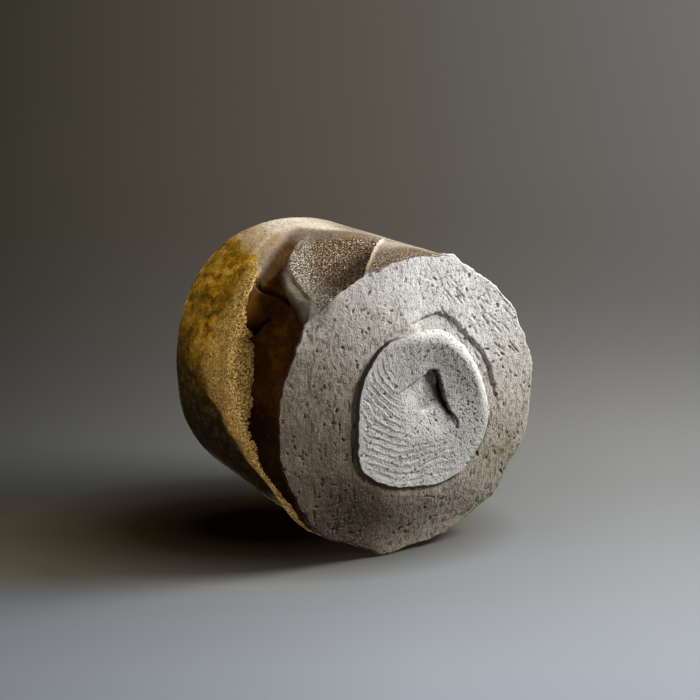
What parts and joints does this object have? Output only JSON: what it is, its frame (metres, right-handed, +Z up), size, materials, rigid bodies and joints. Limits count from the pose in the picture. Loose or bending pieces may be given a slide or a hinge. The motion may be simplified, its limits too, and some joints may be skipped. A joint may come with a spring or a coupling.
{
  "type": "sake cup",
  "caption": "Hand-carved stoneware sake cup with a deep undercut above its thick base slab, a wire-cut foot pad and golden ash glaze on one side.",
  "frame": {"origin": "under the middle of the cup, at the level that the foot pad stands on", "axes": "+Z up, out of the mouth; the scoop above the slab faces +X and -Y, and the ash glaze faces -X and -Y"},
  "size_m": [0.0663, 0.0672, 0.0504],
  "materials": {
    "body_clay": "fired brown stoneware, carved and grainy",
    "slab_clay": "bare grey stoneware, pitted",
    "pad_clay": "bare grey stoneware with wire-cut arcs",
    "ash_glaze": "mottled golden olive ash glaze, satin",
    "bowl_glaze": "glossy olive glaze"
  },
  "bodies": {
    "root": {"cup_body": "body_clay", "base_slab": "slab_clay", "foot_pad": "pad_clay", "ash_glaze": "ash_glaze", "bowl_glaze": "bowl_glaze"}
  },
  "joints": []
}
